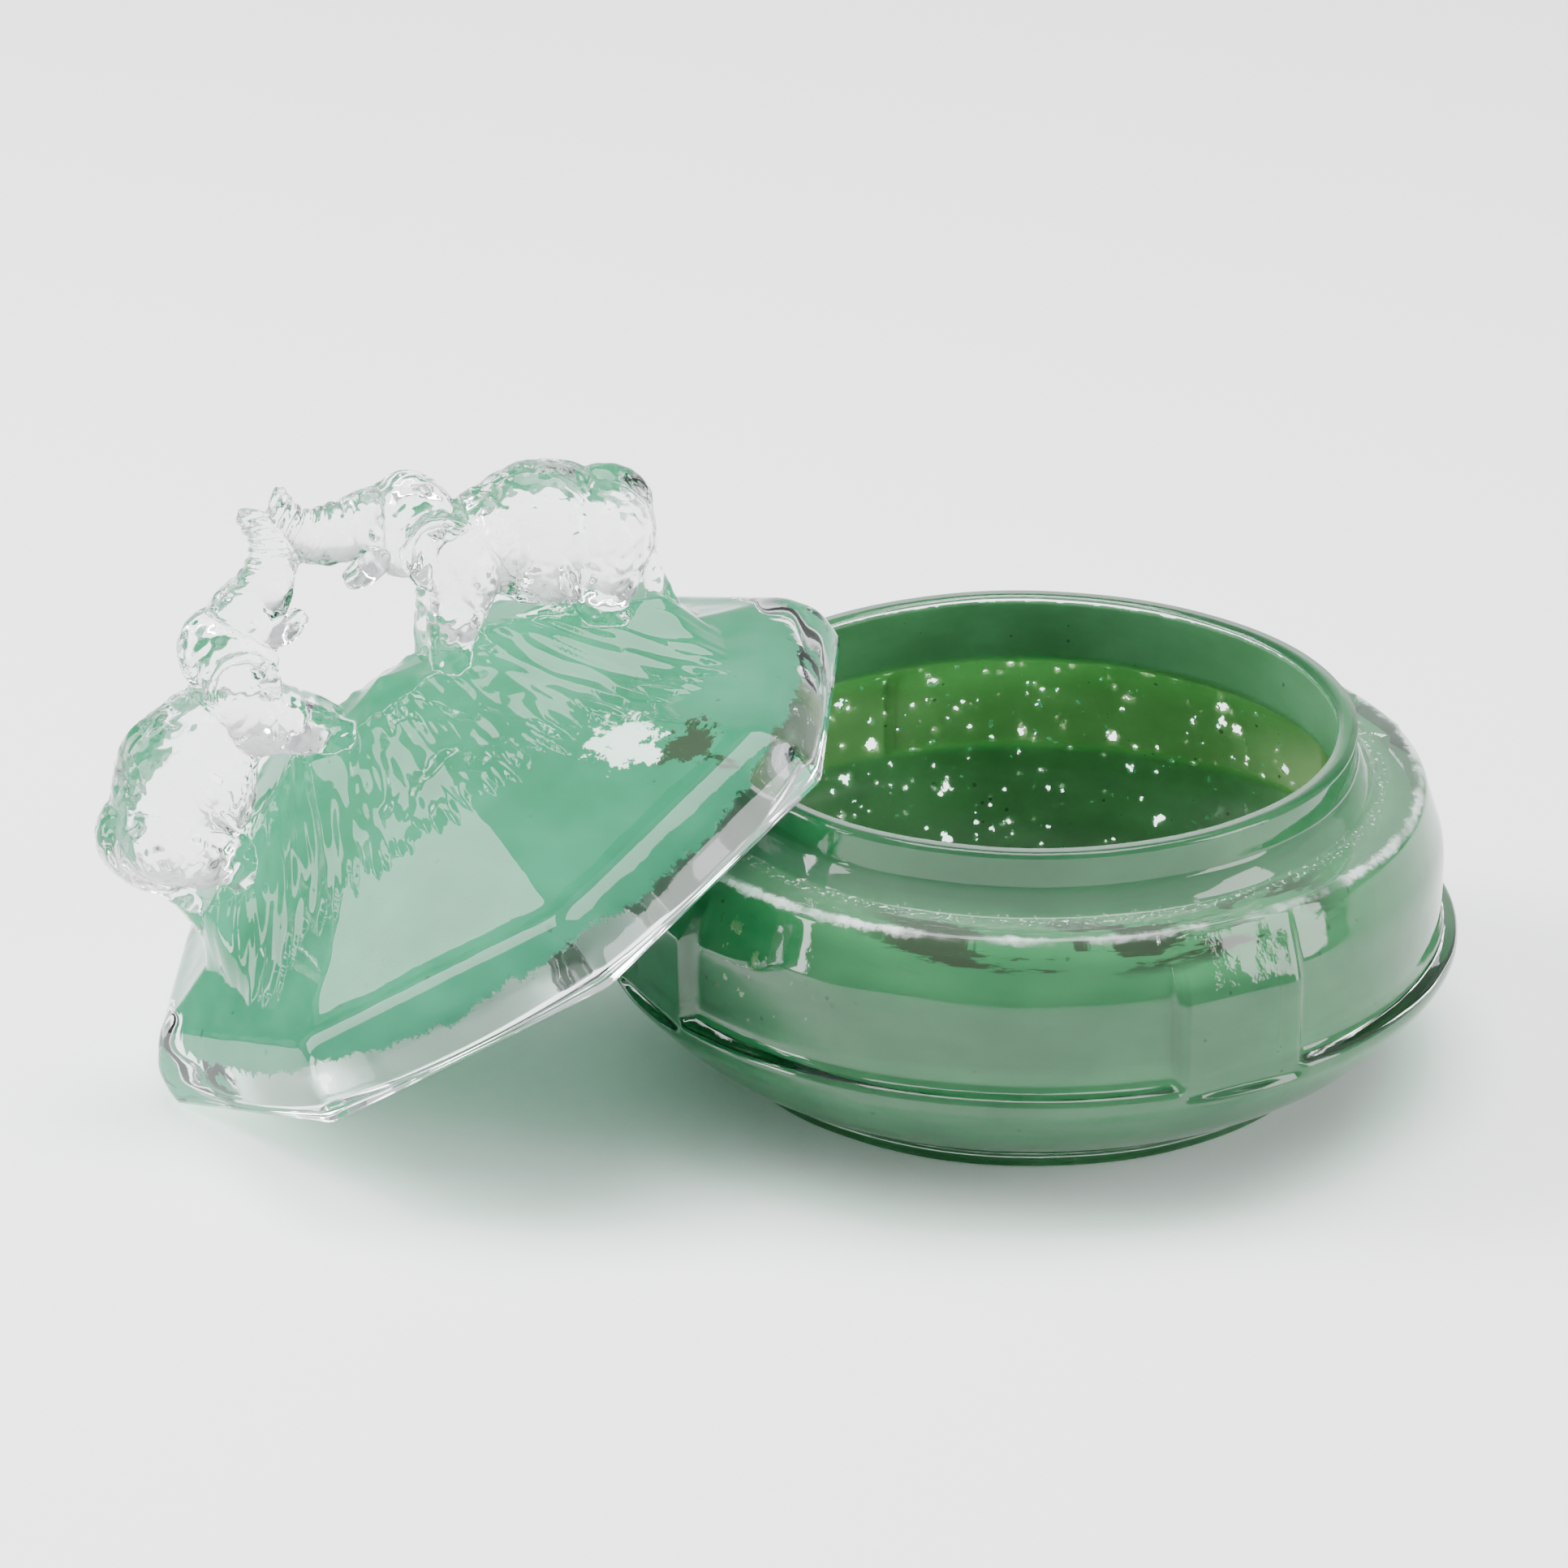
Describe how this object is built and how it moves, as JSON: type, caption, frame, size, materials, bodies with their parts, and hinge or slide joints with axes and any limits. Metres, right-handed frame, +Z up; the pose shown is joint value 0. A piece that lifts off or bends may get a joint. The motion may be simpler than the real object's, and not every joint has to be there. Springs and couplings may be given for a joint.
{
  "type": "powder jar",
  "caption": "Squat glass powder jar lacquered green inside, its octagonal lid leaning on the neck, with two elephants that join trunks as the lid's handle.",
  "frame": {"origin": "centre of the bowl's foot, on the table", "axes": "+Z up, -Y toward the viewer, -X toward the leaning lid"},
  "size_m": [0.1986, 0.127, 0.0899],
  "materials": {
    "bowl_glass": "gloss",
    "bowl_coat": "gloss",
    "lid_glass": "gloss",
    "lid_coat": "gloss"
  },
  "bodies": {
    "jar": {"bowl": "bowl_glass", "bowl_lacquer": "bowl_coat"},
    "cover": {"lid": "lid_glass", "lid_lacquer": "lid_coat"}
  },
  "joints": [
    {"name": "lid_lift", "type": "slide", "parent": "jar", "child": "cover", "axis": [0, 0, 1], "range_m": [0, 0.1]}
  ]
}
